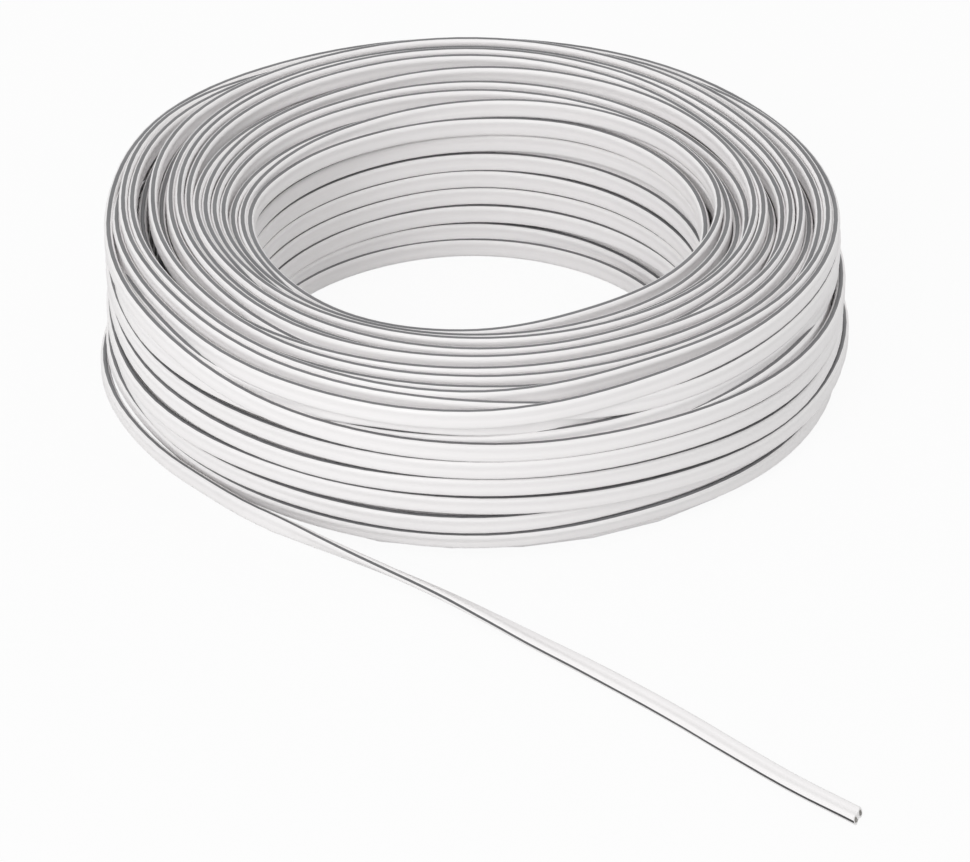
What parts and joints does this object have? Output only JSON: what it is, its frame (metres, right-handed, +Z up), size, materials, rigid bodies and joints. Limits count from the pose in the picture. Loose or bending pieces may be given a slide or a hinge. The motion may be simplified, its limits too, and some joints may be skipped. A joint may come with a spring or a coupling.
{
  "type": "speaker cable coil",
  "caption": "Wound ring of white flat twin speaker cable with a dark polarity stripe, lying flat with one cut end led out from its foot.",
  "frame": {"origin": "on the coil's axis, at the surface that the coil lies on", "axes": "+Z up along the coil's axis; -Y is the side on which the free end leaves the coil and runs out, towards +X"},
  "size_m": [0.178, 0.2803, 0.048],
  "materials": {
    "insulation": "soft satin white PVC with a dark stripe along one edge",
    "conductor": "fine stranded tinned copper, cut flush"
  },
  "bodies": {
    "root": {"wound_coil": "insulation", "free_end": "insulation", "striped_conductor": "conductor", "plain_conductor": "conductor"}
  },
  "joints": []
}
